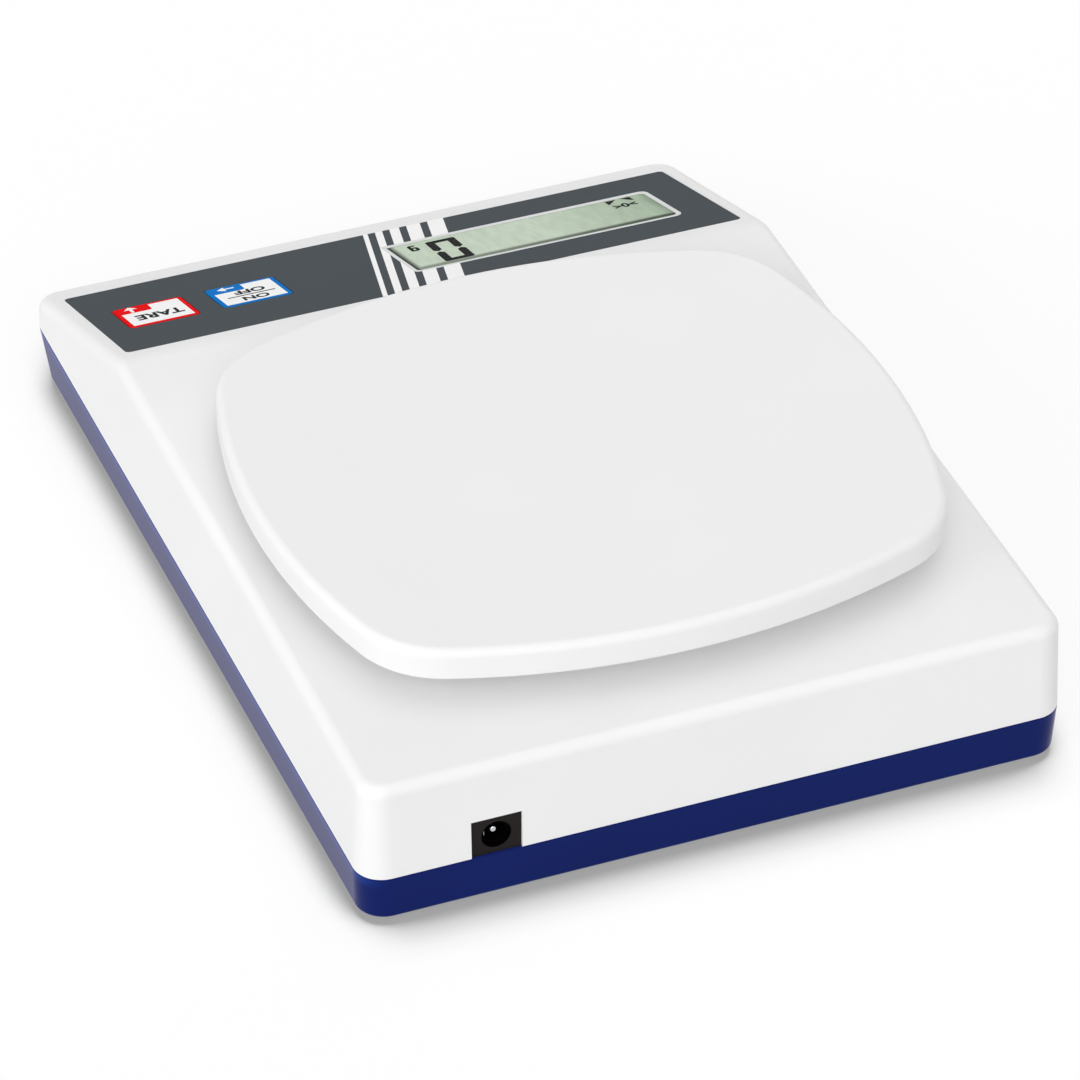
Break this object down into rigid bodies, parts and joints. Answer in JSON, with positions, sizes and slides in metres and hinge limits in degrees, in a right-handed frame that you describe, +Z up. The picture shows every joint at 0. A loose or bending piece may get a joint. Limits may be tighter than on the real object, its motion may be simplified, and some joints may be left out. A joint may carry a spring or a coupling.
{
  "type": "precision balance",
  "caption": "Tabletop precision balance: white wedge cover on a navy tray, bowed square pan, sloping panel with display window and keys, rear power inlet.",
  "frame": {"origin": "on the surface it stands on, under the middle of the body", "axes": "+Z up, -Y towards the user and the sloping panel, +Y to the rear with the power inlet, +X to the user's right"},
  "size_m": [0.2, 0.28, 0.063],
  "materials": {
    "tray_navy": "navy moulded ABS, fine satin texture",
    "cover_white": "off-white moulded ABS, fine satin texture",
    "pan_white": "off-white moulded ABS, smooth satin",
    "panel_print": "printed polyester foil, dark grey, fine matt",
    "window_clear": "clear acrylic",
    "lcd_glass": "pale green reflective display glass",
    "black_plastic": "black moulded plastic",
    "zebra_rubber": "striped conductive elastomer",
    "board_green": "green solder mask",
    "chip_black": "moulded chip epoxy",
    "tin_plate": "bright tin plate",
    "plug_white": "natural nylon",
    "key_red": "printed foil, red border with a white field",
    "key_blue": "printed foil, blue border with a white field",
    "cell_aluminium": "machined, clear anodised",
    "gauge_film": "amber polyimide film",
    "steel_plate": "zinc plated",
    "steel_screws": "zinc plated",
    "carrier_cast": "die cast",
    "cap_rubber": "soft black rubber",
    "foot_rubber": "black rubber",
    "pad_foam": "closed-cell foam",
    "battery_case": "plain metal jacket, unprinted",
    "socket_black": "black moulded plastic",
    "pin_metal": "nickel plated",
    "capacitor_can": "sleeved can",
    "lead_sheath": "PVC sheath",
    "cable_sheath": "grey PVC sheath"
  },
  "bodies": {
    "body": {"base_tray": "tray_navy", "top_cover": "cover_white", "control_overlay": "panel_print", "display_window": "window_clear", "lcd_glass": "lcd_glass", "lcd_holder": "black_plastic", "zebra_strips": "zebra_rubber", "main_board": "board_green", "board_screws": "steel_screws", "microcontroller": "chip_black", "converter_shield": "tin_plate", "converter_chip": "chip_black", "crystal": "tin_plate", "board_plugs": "plug_white", "tare_switch": "black_plastic", "power_switch": "black_plastic", "load_cell": "cell_aluminium", "strain_gauges": "gauge_film", "cell_spacer": "steel_plate", "cell_screws": "steel_screws", "stop_screws": "steel_screws", "stop_nuts": "steel_screws", "rubber_feet": "foot_rubber", "case_screws": "steel_screws", "battery": "battery_case", "battery_snap": "black_plastic", "dc_socket": "socket_black", "socket_pin": "pin_metal", "power_board": "board_green", "socket_legs": "tin_plate", "capacitor": "capacitor_can", "power_board_screws": "steel_screws", "battery_leads": "lead_sheath", "power_leads": "lead_sheath", "cell_cable": "cable_sheath"},
    "tare_button": {"tare_key": "key_red", "tare_switch_stem": "black_plastic"},
    "power_button": {"power_key": "key_blue", "power_switch_stem": "black_plastic"},
    "carrier": {"pan_carrier": "carrier_cast", "carrier_spacer": "steel_plate", "carrier_screws": "steel_screws", "post_caps": "cap_rubber"},
    "pan": {"weighing_pan": "pan_white"},
    "door": {"battery_door": "tray_navy", "battery_pad": "pad_foam"}
  },
  "joints": [
    {"name": "tare_press", "type": "slide", "parent": "body", "child": "tare_button", "axis": [0, 0.3166, -0.9486], "range_m": [0, 0.0005], "stiffness_N_per_m": 3000, "springref_m": -0.0002},
    {"name": "power_press", "type": "slide", "parent": "body", "child": "power_button", "axis": [0, 0.3166, -0.9486], "range_m": [0, 0.0005], "stiffness_N_per_m": 3000, "springref_m": -0.0002},
    {"name": "load_travel", "type": "slide", "parent": "body", "child": "carrier", "axis": [0, 0, -1], "range_m": [0, 0.0005], "stiffness_N_per_m": 100000, "springref_m": -0.00005, "deforming": ["load_cell"]},
    {"name": "pan_lift", "type": "slide", "parent": "carrier", "child": "pan", "axis": [0, 0, 1], "range_m": [0, 0.03]},
    {"name": "door_hinge", "type": "hinge", "parent": "body", "child": "door", "pos_m": [-0.0695, 0.117, 0.0038], "axis": [0, 1, 0], "range_deg": [0, 85]}
  ]
}
